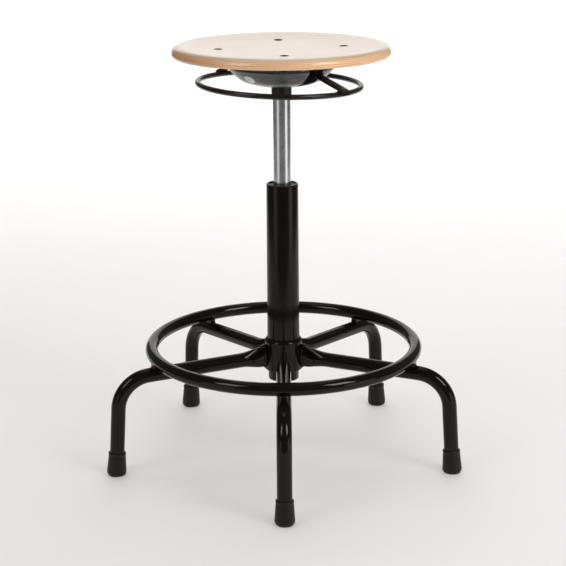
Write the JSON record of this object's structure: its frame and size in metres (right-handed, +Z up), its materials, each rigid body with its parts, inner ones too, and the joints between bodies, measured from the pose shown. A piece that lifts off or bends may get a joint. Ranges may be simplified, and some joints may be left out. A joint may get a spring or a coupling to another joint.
{
  "type": "adjustable swivel stool",
  "caption": "Height-adjustable swivel stool: round plywood seat, ring lever under a steel dish, gas-spring column, and a tubular steel base with a foot ring.",
  "frame": {"origin": "centre of the bounding box at floor level, 27.24 mm in front of the column axis (the column axis is at y = +27.24 mm)", "axes": "+Z up along the column; +X to the right and +Y away from a viewer who has one leg pointing straight at them"},
  "size_m": [0.5764, 0.5498, 0.6827],
  "materials": {
    "base_paint": "high gloss black enamel over steel tube",
    "column_paint": "gloss black enamel over drawn steel tube",
    "foot_rubber": "matt moulded rubber",
    "nylon": "moulded nylon",
    "bearing_steel": "ground steel",
    "fastener_zinc": "zinc plated",
    "bolt_dark": "dark oxide",
    "bumper_rubber": "matt rubber",
    "rod_chrome": "hard chrome",
    "cylinder_chrome": "polished chrome",
    "button_steel": "satin",
    "collar_paint": "satin black",
    "dish_paint": "satin dark grey enamel over pressed steel",
    "label_film": "printed film, left plain",
    "beech_plywood": "clear lacquered pale beech plywood",
    "lever_paint": "satin black enamel"
  },
  "bodies": {
    "base": {"hub_sleeve": "base_paint", "leg_1": "base_paint", "leg_2": "base_paint", "leg_3": "base_paint", "leg_4": "base_paint", "leg_5": "base_paint", "foot_ring": "base_paint", "ring_lug_1": "base_paint", "ring_lug_2": "base_paint", "ring_lug_3": "base_paint", "ring_lug_4": "base_paint", "ring_lug_5": "base_paint", "foot_1": "foot_rubber", "foot_2": "foot_rubber", "foot_3": "foot_rubber", "foot_4": "foot_rubber", "foot_5": "foot_rubber", "column_tube": "column_paint", "guide_bush": "nylon", "bottom_disc": "bearing_steel", "lower_race": "bearing_steel", "thrust_washer": "nylon"},
    "rod": {"piston_rod": "rod_chrome", "piston": "bearing_steel", "upper_race": "bearing_steel", "bumper": "bumper_rubber", "rod_clip": "bearing_steel"},
    "seat": {"spring_cylinder": "cylinder_chrome", "socket_collar": "collar_paint", "dish": "dish_paint", "round_label": "label_film", "seat": "beech_plywood", "seat_bolt_1": "bolt_dark", "seat_bolt_2": "bolt_dark", "seat_bolt_3": "bolt_dark", "seat_bolt_4": "bolt_dark", "plain_washer_1": "fastener_zinc", "plain_washer_2": "fastener_zinc", "plain_washer_3": "fastener_zinc", "plain_washer_4": "fastener_zinc", "seat_nut_1": "fastener_zinc", "seat_nut_2": "fastener_zinc", "seat_nut_3": "fastener_zinc", "seat_nut_4": "fastener_zinc"},
    "lever": {"lever_ring": "lever_paint", "lever_strip": "lever_paint"},
    "button": {"valve_button": "button_steel"}
  },
  "joints": [
    {"name": "seat_swivel", "type": "hinge", "parent": "base", "child": "rod", "pos_m": [0, 0.02724, 0.15], "axis": [0, 0, 1], "continuous": true},
    {"name": "height", "type": "slide", "parent": "rod", "child": "seat", "axis": [0, 0, 1], "range_m": [-0.13, 0.06]},
    {"name": "lever_lift", "type": "hinge", "parent": "seat", "child": "lever", "pos_m": [0.04476, -0.01421, 0.6462], "axis": [-0.6794, -0.7337, 0], "range_deg": [0, 3], "stiffness_Nm_per_rad": 20, "springref_deg": -2.86},
    {"name": "valve_press", "type": "slide", "parent": "seat", "child": "button", "axis": [0, 0, -1], "range_m": [0, 0.0034]}
  ],
  "couplings": [
    {"joint": "valve_press", "follows": "lever_lift", "m_per_rad": 0.061}
  ]
}
